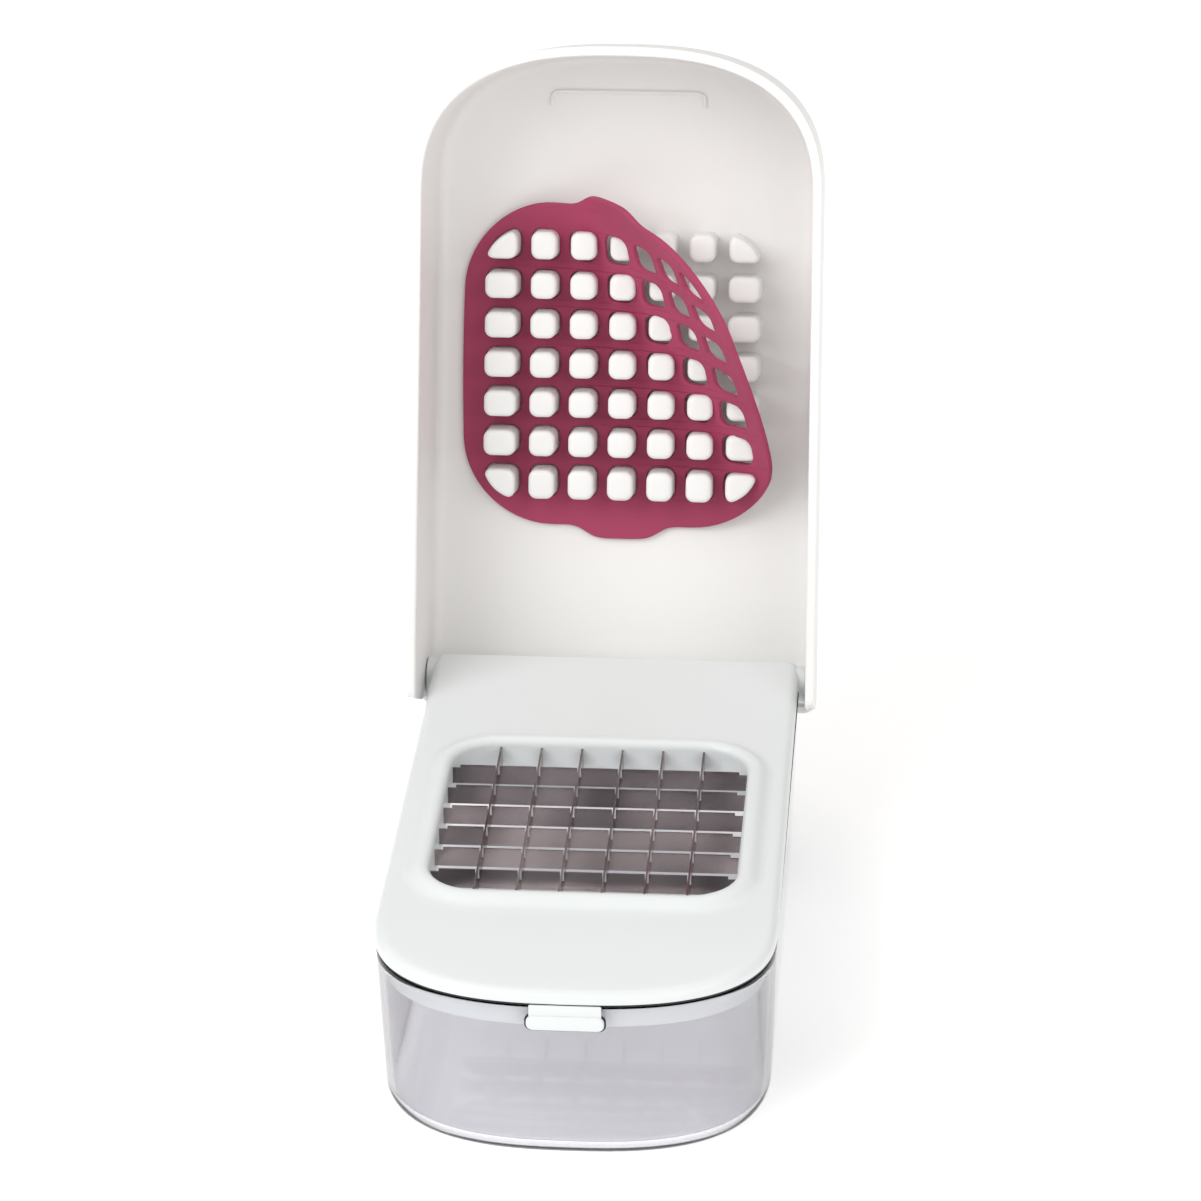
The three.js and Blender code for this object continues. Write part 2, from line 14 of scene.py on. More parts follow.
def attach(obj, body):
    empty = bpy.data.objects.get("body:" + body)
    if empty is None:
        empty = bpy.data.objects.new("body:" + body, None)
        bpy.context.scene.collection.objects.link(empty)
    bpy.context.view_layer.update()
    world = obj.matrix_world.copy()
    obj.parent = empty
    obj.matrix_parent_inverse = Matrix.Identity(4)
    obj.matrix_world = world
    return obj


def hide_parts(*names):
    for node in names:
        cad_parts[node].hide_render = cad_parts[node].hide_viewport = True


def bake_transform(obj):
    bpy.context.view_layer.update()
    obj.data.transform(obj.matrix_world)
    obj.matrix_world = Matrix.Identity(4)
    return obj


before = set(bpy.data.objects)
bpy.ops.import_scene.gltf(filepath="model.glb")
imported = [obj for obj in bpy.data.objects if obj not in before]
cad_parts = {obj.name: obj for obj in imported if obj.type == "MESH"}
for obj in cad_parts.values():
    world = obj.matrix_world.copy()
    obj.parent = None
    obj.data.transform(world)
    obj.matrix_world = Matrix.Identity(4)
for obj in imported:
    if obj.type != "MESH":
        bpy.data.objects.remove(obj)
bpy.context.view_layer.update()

# ---- sizes shared with the CAD part ----
MM = 0.001
NOSE_POWER = 2.6  # exponent of the rounded front's curve
PITCH = 12.7  # from blade to blade and from peg to peg
WINDOW = (-46.0, 46.0, -46.0, 44.2)  # x from, x to, y from, y to
WINDOW_RADIUS = 14.5
TUB_HALF = 59.2
TUB_FRONT = -98.0
TUB_REAR = 97.6
TUB_RIM = 52.8
TUB_WALL = 2.0
TUB_FLOOR = 2.4
TUB_DRAFT = 1.7
COVER_HALF = 59.4
COVER_HALF_REAR = 59.0
COVER_FRONT = -98.6
COVER_REAR = 103.5
COVER_BOTTOM = 54.2
COVER_TOP = 59.3
NOSE = 44.0
HINGE = (101.5, 53.0)  # y and z of the lid's axis
BARREL_RADIUS = 6.8
OPEN = math.radians(108.9)
LID_HALF = 64.4
LID_HALF_REAR = 65.1
LID_FRONT = -103.3
LID_REAR = 112.1
LID_NOSE = 48.0
LID_RIM = 22.3
LID_CEILING = 69.3
PEG_HALF = 4.2
PEG_TIP = 54.0
# Two points of the mat's peel line, in x and y with the lid closed.
PEEL_A = np.array([-15.72, -45.68])
PEEL_B = np.array([41.23, 38.82])

SWING = (
    Matrix.Translation((0, HINGE[0], HINGE[1]))
    @ Matrix.Rotation(-OPEN, 4, "X")
    @ Matrix.Translation((0, -HINGE[0], -HINGE[1]))
)


# ---- materials ----
GRAIN_DEPTH = 0.0002  # metres


def grey(value):
    return (value, value, value)


def principled(name, color, roughness, metallic=0.0, **inputs):
    material = bpy.data.materials.new(name)
    material.use_nodes = True
    node = material.node_tree.nodes["Principled BSDF"]
    node.inputs["Base Color"].default_value = (*color, 1)
    node.inputs["Roughness"].default_value = roughness
    node.inputs["Metallic"].default_value = metallic
    for key, value in inputs.items():
        node.inputs[key.replace("_", " ")].default_value = value
    return material, node


def noise(material, scale, detail=2.0, stretch=(1, 1, 1)):
    nodes = material.node_tree.nodes
    links = material.node_tree.links
    where = nodes.new("ShaderNodeTexCoord")
    mapping = nodes.new("ShaderNodeMapping")
    mapping.inputs["Scale"].default_value = stretch
    texture = nodes.new("ShaderNodeTexNoise")
    texture.inputs["Scale"].default_value = scale
    texture.inputs["Detail"].default_value = detail
    links.new(where.outputs["Object"], mapping.inputs["Vector"])
    links.new(mapping.outputs["Vector"], texture.inputs["Vector"])
    return texture


def ramp(owner, source, stops, target, output="Fac"):
    """Turns one output of a node into a blend of two colours, in a material or in the world."""
    nodes = owner.node_tree.nodes
    links = owner.node_tree.links
    node = nodes.new("ShaderNodeValToRGB")
    for element, (place, color) in zip(node.color_ramp.elements, stops):
        element.position = place
        element.color = (*color, 1)
    links.new(source.outputs[output], node.inputs["Fac"])
    links.new(node.outputs["Color"], target)


def bump(material, shader, texture, strength, distance):
    nodes = material.node_tree.nodes
    links = material.node_tree.links
    node = nodes.new("ShaderNodeBump")
    node.inputs["Strength"].default_value = strength
    node.inputs["Distance"].default_value = distance
    links.new(texture.outputs["Fac"], node.inputs["Height"])
    links.new(node.outputs["Normal"], shader.inputs["Normal"])


def plastic(name, color, roughness):
    """Moulded plastic with a fine grain and a barely uneven tone."""
    grain_scale = 900.0
    grain_strength = 0.04
    tone_scale = 9.0
    darkest = 0.985
    material, shader = principled(name, color, roughness, Specular_IOR_Level=0.45)
    grain = noise(material, grain_scale)
    bump(material, shader, grain, grain_strength, GRAIN_DEPTH)
    tone = noise(material, tone_scale)
    low = tuple(c * darkest for c in color)
    ramp(material, tone, ((0.35, low), (0.65, color)), shader.inputs["Base Color"])
    return material


def clear_plastic():
    """Clear plastic, with painted shade darkening its wall where it is seen edge-on."""
    haze_scale = 40.0
    facing_tint = (0.905, 0.90, 0.92)
    edge_painted_shade = (0.20, 0.19, 0.215)
    facing_blend = 0.45
    passing_tint = (0.93, 0.93, 0.945, 1)
    material, shader = principled(
        "clear_plastic",
        (0.92, 0.915, 0.935),
        0.03,
        Transmission_Weight=1.0,
        IOR=1.46,
    )
    nodes = material.node_tree.nodes
    links = material.node_tree.links
    haze = noise(material, haze_scale)
    ramp(material, haze, ((0.3, grey(0.02)), (0.8, grey(0.05))), shader.inputs["Roughness"])
    # Painted shade: the base colour runs from the plastic's own faint tint, where the wall faces
    # the view, to a dark colour where it is seen edge-on, standing in for the darkness that
    # refraction shows at grazing angles.
    facing = nodes.new("ShaderNodeLayerWeight")
    facing.inputs["Blend"].default_value = facing_blend
    stops = ((0.22, facing_tint), (0.8, edge_painted_shade))
    ramp(material, facing, stops, shader.inputs["Base Color"], "Facing")
    # Light on its way to other surfaces passes straight through, so the walls don't darken them.
    path = nodes.new("ShaderNodeLightPath")
    passing = nodes.new("ShaderNodeMath")
    passing.operation = "MAXIMUM"
    through = nodes.new("ShaderNodeBsdfTransparent")
    through.inputs["Color"].default_value = passing_tint
    mix = nodes.new("ShaderNodeMixShader")
    out = nodes["Material Output"]
    links.new(path.outputs["Is Shadow Ray"], passing.inputs[0])
    links.new(path.outputs["Is Diffuse Ray"], passing.inputs[1])
    links.new(passing.outputs["Value"], mix.inputs["Fac"])
    links.new(shader.outputs["BSDF"], mix.inputs[1])
    links.new(through.outputs["BSDF"], mix.inputs[2])
    links.new(mix.outputs["Shader"], out.inputs["Surface"])
    return material


def steel(name, color, stretch):
    """Steel with fine streaks along the one axis that isn't scaled up, and blotchy stains."""
    streak_scale = 120.0
    stain_scale = 35.0
    detail = 1.0
    darkest = 0.55
    lightest = 1.2
    material, shader = principled(name, color, 0.16, 1.0)
    streaks = noise(material, streak_scale, detail, stretch)
    stain = noise(material, stain_scale, detail)
    ramp(material, streaks, ((0.3, grey(0.14)), (0.7, grey(0.20))), shader.inputs["Roughness"])
    dark = tuple(c * darkest for c in color)
    light = tuple(c * lightest for c in color)
    ramp(material, stain, ((0.35, dark), (0.62, light)), shader.inputs["Base Color"])
    return material


def silicone():
    """Matt plum silicone with a fine grain."""
    color = (0.385, 0.052, 0.12)
    grain_scale = 1400.0
    grain_strength = 0.08
    tone_scale = 25.0
    darkest = 0.9
    material, shader = principled(
        "plum_silicone",
        color,
        0.58,
        Specular_IOR_Level=0.28,
        Subsurface_Weight=0.05,
        Subsurface_Scale=0.002,
    )
    grain = noise(material, grain_scale)
    bump(material, shader, grain, grain_strength, GRAIN_DEPTH)
    tone = noise(material, tone_scale)
    deep = tuple(c * darkest for c in color)
    ramp(material, tone, ((0.35, deep), (0.65, color)), shader.inputs["Base Color"])
    return material


WHITE = plastic("white_plastic", (0.735, 0.765, 0.765), 0.32)
# Painted light: the lid's white is a lighter, warmer copy of the cover's white plastic, lifting the
# shade inside the lid and tinting it with warm bounced light.
LID_WHITE_PAINTED_LIGHT = plastic("lid_white_plastic_painted_light", (0.86, 0.85, 0.835), 0.36)
PEG_WHITE = plastic("peg_white_plastic", (0.82, 0.815, 0.805), 0.35)
CLEAR = clear_plastic()
# The seal's black rubber also colours the painted shade round the release tab's bar.
BLACK = plastic("black_rubber", (0.012, 0.012, 0.014), 0.55)
# Painted reflection: both blade steels are darker and warmer than plain steel, standing in for the
# dark, pinkish surroundings the blades reflect.
LONG_STEEL = steel("long_blade_steel_painted_reflection", (0.27, 0.24, 0.235), (8, 1, 8))
CROSS_STEEL = steel("cross_blade_steel_painted_reflection", (0.24, 0.205, 0.205), (1, 8, 8))
PIN_STEEL = steel("pin_steel", (0.6, 0.6, 0.61), (1, 1, 1))
PLUM = silicone()


# ---- meshes ----
def mesh_object(name, verts, faces, material, matrix=None, sharp_deg=None):
    """An object from vertices in millimetres; edges sharper than sharp_deg stay crisp."""
    mesh = bpy.data.meshes.new(name)
    mesh.from_pydata([tuple(v) for v in verts], [], faces)
    if matrix is not None:
        mesh.transform(matrix)
    mesh.transform(Matrix.Scale(MM, 4))
    work = bmesh.new()
    work.from_mesh(mesh)
    bmesh.ops.recalc_face_normals(work, faces=work.faces)
    work.to_mesh(mesh)
    work.free()
    mesh.materials.append(material)
    for polygon in mesh.polygons:
        polygon.use_smooth = True
    obj = bpy.data.objects.new(name, mesh)
    bpy.context.scene.collection.objects.link(obj)
    if sharp_deg:
        mesh.set_sharp_from_angle(angle=math.radians(sharp_deg))
    return obj


def loft(rings, ring_loop=False):
    """Vertices and faces of a skin over closed rings.

    Its two ends are capped, or joined to each other.
    """
    count = len(rings[0])
    verts = [tuple(p) for ring in rings for p in ring]
    faces = []
    last = len(rings) if ring_loop else len(rings) - 1
    for k in range(last):
        a = k * count
        b = ((k + 1) % len(rings)) * count
        for i in range(count):
            j = (i + 1) % count
            faces.append((a + i, a + j, b + j, b + i))
    if not ring_loop:
        for k in (0, len(rings) - 1):
            centre = len(verts)
            verts.append(tuple(np.mean(np.array(rings[k]), axis=0)))
            for i in range(count):
                faces.append((centre, k * count + i, k * count + (i + 1) % count))
    return verts, faces


def joined(parts):
    """One vertex and face list out of several."""
    verts = []
    faces = []
    for some_verts, some_faces in parts:
        base = len(verts)
        verts.extend(some_verts)
        faces.extend(tuple(i + base for i in face) for face in some_faces)
    return verts, faces


CORNER_STEPS = 8
REAR_STEPS = 12
SIDE_STEPS = 36
NOSE_STEPS = 96


def plan(half_front, half_rear, y_front, y_rear, nose, rear_radius):
    """Rounded front, straight sides, nearly square rear, counter-clockwise from above."""
    reach = half_rear - rear_radius
    points = []
    for side, turn in ((1, 0), (-1, 1)):
        for i in range(CORNER_STEPS + 1):
            a = (turn + i / CORNER_STEPS) * math.pi / 2
            points.append((
                side * reach + rear_radius * math.cos(a),
                y_rear - rear_radius + rear_radius * math.sin(a),
            ))
        if side == 1:
            points.extend(
                (reach * (1 - 2 * i / REAR_STEPS), y_rear) for i in range(1, REAR_STEPS)
            )
    rear_y = y_rear - rear_radius
    nose_y = y_front + nose
    steps = [(i / SIDE_STEPS) ** 2 for i in range(1, SIDE_STEPS)]
    points.extend(
        (-(half_rear + (half_front - half_rear) * t), rear_y + (nose_y - rear_y) * t) for t in steps
    )
    for i in range(NOSE_STEPS + 1):
        a = math.pi * (1 + i / NOSE_STEPS)
        c, s = math.cos(a), math.sin(a)
        points.append((
            half_front * math.copysign(abs(c) ** (2 / NOSE_POWER), c),
            y_front + nose - nose * abs(s) ** (2 / NOSE_POWER),
        ))
    points.extend(
        (half_rear + (half_front - half_rear) * t, rear_y + (nose_y - rear_y) * t)
        for t in reversed(steps)
    )
    return np.array(points)


def round_rect(x0, x1, y0, y1, radius, steps=8):
    """A rectangle with round corners, counter-clockwise, steps + 1 points to a corner."""
    points = []
    corners = ((x1, y1, -1, -1, 0), (x0, y1, 1, -1, 1), (x0, y0, 1, 1, 2), (x1, y0, -1, 1, 3))
    for x, y, sx, sy, turn in corners:
        for i in range(steps + 1):
            a = (turn + i / steps) * math.pi / 2
            points.append((
                x + sx * radius + radius * math.cos(a),
                y + sy * radius + radius * math.sin(a),
            ))
    return np.array(points)


def slab_y(x0, x1, z0, z1, y_back, y_front, radius, soft):
    """A rounded plate facing the front, with softened front edges."""
    rings = []
    # (place, how far the outline is drawn in), from the back to the front face.
    for y, inset in (
        (y_back, 0),
        (y_front + soft, 0),
        (y_front + soft * 0.35, soft * 0.3),
        (y_front + soft * 0.08, soft * 0.75),
        (y_front, soft * 1.3),
    ):
        ring = round_rect(x0 + inset, x1 - inset, z0 + inset, z1 - inset, radius - inset * 0.5)
        rings.append([(x, y, z) for x, z in ring])
    return loft(rings)


def at_height(points, z):
    """A flat outline lifted to one height, or to a height of its own at each point."""
    points = np.asarray(points)
    return np.column_stack([points, np.broadcast_to(z, len(points))])


RAY_CENTRE = np.array([0.0, -1.0])
RAY_COUNT = 720
RAYS = np.linspace(-math.pi, math.pi, RAY_COUNT, endpoint=False)
OUTLINE_STEP = 0.5


def on_rays(points):
    """An outline resampled where rays from the window's middle meet it."""
    dense = []
    for p, q in zip(points, np.roll(points, -1, axis=0)):
        steps = max(1, int(np.linalg.norm(q - p) / OUTLINE_STEP))
        dense.extend(p + (q - p) * i / steps for i in range(steps))
    rel = np.array(dense) - RAY_CENTRE
    angle = np.arctan2(rel[:, 1], rel[:, 0])
    order = np.argsort(angle)
    radius = np.interp(RAYS, angle[order], np.linalg.norm(rel, axis=1)[order], period=2 * math.pi)
    return RAY_CENTRE + np.column_stack([np.cos(RAYS), np.sin(RAYS)]) * radius[:, None]


def window(grow):
    """The window's outline, grown outwards."""
    x0, x1, y0, y1 = WINDOW
    return on_rays(round_rect(x0 - grow, x1 + grow, y0 - grow, y1 + grow, WINDOW_RADIUS + grow))


# ---- container ----
TUB_CORNER = 6
SMALLEST_CORNER = 1.5
TUB_LEVELS = (16, 28, 40, 50)  # heights of rings along the straight walls
FOOT_TURN = (90, 78, 66, 54, 42, 30, 18, 8, 0)  # degrees, from the floor up into the wall


def tub_ring(z, inset):
    """The container's outline at a height, drawn in; the walls lean in towards the foot."""
    lean = TUB_DRAFT * (1 - z / TUB_RIM)
    total = inset + lean
    outline = plan(
        TUB_HALF - total,
        TUB_HALF - total,
        TUB_FRONT + total,
        TUB_REAR - total,
        NOSE - inset,
        max(SMALLEST_CORNER, TUB_CORNER - inset),
    )
    return at_height(outline, z)


def build_tub():
    """The container, from its underside out, over the rim and down inside to the floor."""
    foot = 6.0  # radius of the outer edge at the foot
    inner = 4.6  # radius inside it
    rim = ((0.5, 0), (0.15, 0.15), (0, 0.5), (0, 1.5), (0.15, 1.85), (0.5, 2.0))
    rings = [tub_ring(0.25, 40), tub_ring(0.2, 14), tub_ring(0.0, 8.5)]
    for deg in FOOT_TURN:
        a = math.radians(deg)
        rings.append(tub_ring(foot * (1 - math.sin(a)), foot * (1 - math.cos(a))))
    rings.extend(tub_ring(z, 0) for z in TUB_LEVELS)
    rings.extend(tub_ring(TUB_RIM - down, inset) for down, inset in rim)
    rings.extend(tub_ring(z, TUB_WALL) for z in reversed(TUB_LEVELS))
    for deg in reversed(FOOT_TURN):
        a = math.radians(deg)
        rings.append(tub_ring(
            TUB_FLOOR + inner * (1 - math.sin(a)),
            TUB_WALL + inner * (1 - math.cos(a)),
        ))
    rings.append(tub_ring(TUB_FLOOR, 20))
    rings.append(tub_ring(TUB_FLOOR, 40))
    verts, faces = loft(rings)
    return mesh_object("container", verts, faces, CLEAR, sharp_deg=40)


tub = build_tub()
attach(tub, "container")
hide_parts("container_tub")


# ---- seal, skirt ----
def build_seal():
    """The black seal, standing a little proud of the container's wall, and a black plate of painted
    shade round the release tab's bar.
    """
    proud = 0.12
    profile = (
        (53.0, 0.15), (53.2, 0), (53.85, 0), (54.05, 0.15), (54.05, 2.1), (53.0, 2.1),
    )

    def ring(z, inset):
        return at_height(
            plan(
                TUB_HALF + proud - inset,
                TUB_HALF + proud - inset,
                COVER_FRONT + 1.0 + inset,
                TUB_REAR - inset,
                NOSE - inset,
                4,
            ),
            z,
        )

    rings = [ring(z, inset) for z, inset in profile]
    # Painted shade: a thin black plate behind the release tab's bar, a little larger than it,
    # stands in for the shadowed gap round the bar.
    lip = slab_y(
        -11.8, 11.8, 45.3, 50.9, y_back=-98.1, y_front=-98.5, radius=2.2, soft=0.1,
    )
    verts, faces = joined([loft(rings, ring_loop=True), lip])
    return mesh_object("seal", verts, faces, BLACK, sharp_deg=40)


seal = build_seal()
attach(seal, "cutter_top")
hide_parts("seal_gasket")


def build_skirt():
    """White band inside the container; its lower edge drops away towards the rear."""
    top = 56.2
    wall = 1.7
    lean_share = 0.9  # of the container's own lean
    half = TUB_HALF - TUB_WALL - 0.6
    front = TUB_FRONT + TUB_WALL + 0.7
    rear = TUB_REAR - TUB_WALL - 0.6

    def outline(inset):
        return plan(half - inset, half - inset, front + inset, rear - inset, NOSE - 2.4 - inset, 3)

    along_y = outline(0)[:, 1]
    low = np.interp(along_y, [30, 38, 88, 93, 95], [45.2, 44.2, 20, 15, 14])

    def ring(z, inset):
        lean = TUB_DRAFT * (1 - np.minimum(z, TUB_RIM) / TUB_RIM) * lean_share
        points = outline(inset)
        shrink = 1 - np.broadcast_to(lean, len(points)) / half
        return np.column_stack([points * shrink[:, None], np.broadcast_to(z, len(points))])

    rings = [ring(low + (top - low) * t, 0) for t in (1, 0.75, 0.5, 0.25)]
    rings.extend([ring(low + 0.5, 0), ring(low + 0.12, 0.15), ring(low, 0.5), ring(low, 1.2)])
    rings.extend([ring(low + 0.12, 1.55), ring(low + 0.5, wall)])
    rings.extend([ring(low + (top - low) * t, wall) for t in (0.25, 0.5, 0.75, 1)])
    verts, faces = loft(rings, ring_loop=True)
    return mesh_object("skirt", verts, faces, WHITE, sharp_deg=40)


skirt = build_skirt()
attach(skirt, "cutter_top")
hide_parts("inner_skirt")


# ---- cover ----
COVER_CORNER = 0.6
COVER_INSIDE = 56.6  # underside of the cover's plate
HOLDER_TOP = 56.95  # where the blade holder meets the cover


def cover_outline(inset):
    return on_rays(plan(
        COVER_HALF - inset,
        COVER_HALF_REAR - inset,
        COVER_FRONT + inset,
        COVER_REAR,
        NOSE - inset,
        COVER_CORNER,
    ))


def cover_height(points):
    """The gently domed top.

    It falls away at the front and a little at the sides, and rises to the hinge barrel at the
    rear.
    """
    front_fall = 1.5
    side_fall = 0.45
    forward = np.clip((-60 - points[:, 1]) / 38.6, 0, 1)
    rearward = np.clip((points[:, 1] - 72) / 28, 0, 1)
    sideways = np.abs(points[:, 0] / COVER_HALF)
    barrel_rise = HINGE[1] + BARREL_RADIUS - COVER_TOP
    rise = barrel_rise * rearward ** 2 * (3 - 2 * rearward)
    front_drop = front_fall * forward ** 1.7
    side_drop = side_fall * (1 - rearward) * sideways ** 4
    return COVER_TOP + rise - front_drop - side_drop


# Raised lip round the window: (distance outside the window, height above the cover's top).
LIP = (
    (0.35, 1.2), (0.7, 1.7), (1.2, 2.1), (1.8, 2.33), (2.4, 2.4), (3.1, 2.38), (3.8, 2.2),
    (4.5, 1.85), (5.2, 1.35), (5.9, 0.85), (6.6, 0.45), (7.4, 0.18), (8.3, 0.0),
)


def build_cover():
    """The cover with its raised lip, the hinge barrel across its rear and two pin bosses."""
    edge_turn = (12, 24, 36, 48, 60, 72, 82, 90)
    edge_drop = 0.93  # the rounded edge is a little flatter than a quarter circle
    inner_lip = ((0.0, HOLDER_TOP), (0.0, 59.0), (0.05, 59.8))
    rings = [at_height(window(grow), z) for grow, z in inner_lip]
    for grow, rise in LIP:
        points = window(grow)
        rings.append(at_height(points, cover_height(points) + rise))
    start = window(LIP[-1][0])
    edge_radius = 3.0
    end = cover_outline(edge_radius)
    for tenth in range(1, 11):
        points = start + (end - start) * (tenth / 10)
        rings.append(at_height(points, cover_height(points)))
    for deg in edge_turn:
        a = math.radians(deg)
        points = cover_outline(edge_radius * (1 - math.sin(a)))
        drop = edge_radius * (1 - math.cos(a))
        rings.append(at_height(points, cover_height(points) - drop * edge_drop))
    for inset, z in (
        (0.0, 54.5), (0.12, 54.28), (0.4, COVER_BOTTOM), (2.3, COVER_BOTTOM),
        (2.4, COVER_INSIDE),
    ):
        rings.append(at_height(cover_outline(inset), z))
    rings.append(at_height(window(6.0), COVER_INSIDE))
    body = loft(rings, ring_loop=True)

    # Hinge barrel across the rear, cut away in front where the container's wall comes up.
    barrel_steps = 32
    section = [(98.1, 54.6)]
    start_deg = math.degrees(math.atan2(-5.89, -3.4))
    end_deg = 105
    for i in range(barrel_steps + 1):
        a = math.radians(start_deg + (end_deg - start_deg) * i / barrel_steps)
        section.append((
            HINGE[0] + BARREL_RADIUS * math.cos(a),
            HINGE[1] + BARREL_RADIUS * math.sin(a),
        ))
    section = np.array(section)
    middle = section.mean(axis=0)
    across = 7  # about the barrel's radius; the section is drawn in as a share of it
    rings = []
    # The rounded end: (distance in from the end, how far the section is drawn in).
    for x, inset in (
        (0.0, 3.0), (0.25, 1.9), (0.8, 0.95), (1.6, 0.35), (2.4, 0.07), (3.0, 0.0),
    ):
        shrink = 1 - inset / across
        rings.append([(x - COVER_HALF_REAR, *(middle + (p - middle) * shrink)) for p in section])
    rings.extend([[(-x, y, z) for x, y, z in ring] for ring in reversed(rings)])
    barrel = loft(rings)

    # Bosses that carry the hinge pins, one at each side.
    boss_steps = 48
    turn = [2 * math.pi * i / boss_steps for i in range(boss_steps)]
    bosses = []
    for side in (-1, 1):
        boss_rings = []
        for x, radius in ((56.5, 6.0), (60.9, 6.0), (61.1, 5.85), (61.2, 5.6)):
            boss_rings.append([
                (side * x, HINGE[0] + radius * math.cos(a), HINGE[1] + radius * math.sin(a))
                for a in turn
            ])
        bosses.append(loft(boss_rings))
    verts, faces = joined([body, barrel, *bosses])
    return mesh_object("cover", verts, faces, WHITE, sharp_deg=50)


cover = build_cover()
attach(cover, "cutter_top")
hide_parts("cover_shell")


def build_blade_holder():
    """The wall round the window that the blades sit in."""
    profile = (
        (0.02, HOLDER_TOP), (0.0, 54.0), (0.5, 46.4), (0.9, 46.0), (3.3, 46.0), (3.6, 46.4),
        (3.6, 56.5), (3.6, HOLDER_TOP),
    )
    rings = [at_height(window(grow), z) for grow, z in profile]
    verts, faces = loft(rings, ring_loop=True)
    return mesh_object("blade_holder", verts, faces, WHITE, sharp_deg=40)


holder = build_blade_holder()
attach(holder, "cutter_top")
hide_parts("blade_frame")


# ---- release tab ----
def build_tab():
    """The release tab: a thin plate with a rounded bar across its lower end."""
    back = -98.2
    plate = slab_y(
        -10.5, 10.5, 48.5, 53.8, y_back=back, y_front=-98.75, radius=0.5, soft=0.15,
    )
    bar = slab_y(-11.3, 11.3, 45.8, 50.4, y_back=back, y_front=-99.5, radius=1.9, soft=0.5)
    verts, faces = joined([plate, bar])
    return mesh_object("front_tab", verts, faces, WHITE, sharp_deg=50)


tab = build_tab()
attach(tab, "release_tab")
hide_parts("release_tab")


# ---- lid ----
LID_CORNER = 5
LID_NOSE_INSET = 3.0  # the nose stops tightening here
LID_INNER_REAR = 0.5  # the inside reaches this much further back
LID_WALL = 3.1


def lid_ring(inset, inner=False):
    return plan(
        LID_HALF - inset,
        LID_HALF_REAR - inset,
        LID_FRONT + inset,
        LID_REAR - inset + (LID_INNER_REAR if inner else 0.0),
        LID_NOSE - min(inset, LID_NOSE_INSET),
        max(SMALLEST_CORNER, LID_CORNER - inset),
    )


def build_lid():
    """A deep cap. Its rim turns up behind the hinge, where the side walls end as ears."""
    rear_y = lid_ring(0)[:, 1]
    low = np.interp(
        rear_y,
        [103.5, 104.2, 108.1, 109.1, 109.6, 110.4],
        [LID_RIM, 25, 46, 50, 54, 59],
    )
    high = 62.0  # the straight walls end here, below the rounded top
    rim = 1.5  # height of the rounded rim
    lean = 0.5  # how far the walls draw in towards their top
    rings = []
    for z, inset in (
        (72.9, 34), (72.75, 26), (72.5, 18), (72.1, 11), (71.6, 7), (71.0, 4.6), (70.2, 3.0),
        (69.2, 1.95), (67.9, 1.2), (66.3, 0.8), (64.5, 0.6),
    ):
        rings.append(at_height(lid_ring(inset), z))
    for t in (0, 0.25, 0.5, 0.75, 1):
        z = high + (low + rim - high) * t
        rings.append(at_height(lid_ring(lean * (1 - t)), np.minimum(z, high)))
    for up, inset in ((0.7, 0.04), (0.3, 0.2), (0.08, 0.5), (0, 0.95), (0, 2.2)):
        rings.append(at_height(lid_ring(inset), low + up))
    for up, inset in ((0.08, 2.6), (0.3, 2.9), (0.7, 3.07), (rim, LID_WALL)):
        rings.append(at_height(lid_ring(inset, True), low + up))
    for t in (0.75, 0.5, 0.25, 0):
        z = high + (low + rim - high) * t
        rings.append(at_height(lid_ring(LID_WALL + lean * (1 - t), True), np.minimum(z, high)))
    for z, inset in (
        (65.3, 3.7), (66.6, 3.9), (67.7, 4.4), (68.6, 5.2), (69.1, 6.3), (LID_CEILING, 7.8),
        (LID_CEILING, 16), (LID_CEILING, 30),
    ):
        rings.append(at_height(lid_ring(inset, True), z))
    verts, faces = loft(rings)
    return mesh_object("lid", verts, faces, LID_WHITE_PAINTED_LIGHT, SWING, sharp_deg=55)


lid = build_lid()
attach(lid, "lid")
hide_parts("lid_shell")


def build_catch_rib():
    """A thin rib across the lid's far end, with both ends turned back."""
    rib_y = -87.1
    hook = [(24.7, -82.5), (24.7, -84.5), (24.4, -86.0), (23.4, -86.9), (21.8, rib_y)]
    path = [(-x, y) for x, y in hook]
    path.extend((x, rib_y) for x in (-14, -7, 0, 7, 14))
    path.extend(reversed(hook))
    path = np.array(path)
    rings = []
    for k, p in enumerate(path):
        along = path[min(k + 1, len(path) - 1)] - path[max(k - 1, 0)]
        along = along / np.linalg.norm(along)
        side = np.array([-along[1], along[0]])
        ring = []
        for out, z in (
            (-0.55, 69.5), (-0.5, 68.6), (-0.25, 68.35), (0.25, 68.35), (0.5, 68.6), (0.55, 69.5),
        ):
            ring.append((*(p + side * out), z))
        rings.append(ring)
    verts, faces = loft(rings)
    return mesh_object("catch_rib", verts, faces, LID_WHITE_PAINTED_LIGHT, SWING, sharp_deg=60)


rib = build_catch_rib()
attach(rib, "lid")


# ---- pusher pegs ----
LAST_CELL = 3  # cells are counted from -3 to 3 from the middle, both ways
WIDER_SIDE = 2.0  # the outer pegs reach this much further out
WIDER_FRONT = 0.6
WIDER_REAR = 1.1
# The corner pegs follow arcs of this radius, about these points.
CORNER_RADIUS = 12.4
CORNER_X = 32.2
CORNER_Y_REAR = 31.4
CORNER_Y_FRONT = -30.8


def peg_bounds(col, row):
    x = col * PITCH
    y = row * PITCH
    return (
        x - PEG_HALF - (WIDER_SIDE if col == -LAST_CELL else 0),
        x + PEG_HALF + (WIDER_SIDE if col == LAST_CELL else 0),
        y - PEG_HALF - (WIDER_FRONT if row == -LAST_CELL else 0),
        y + PEG_HALF + (WIDER_REAR if row == LAST_CELL else 0),
    )


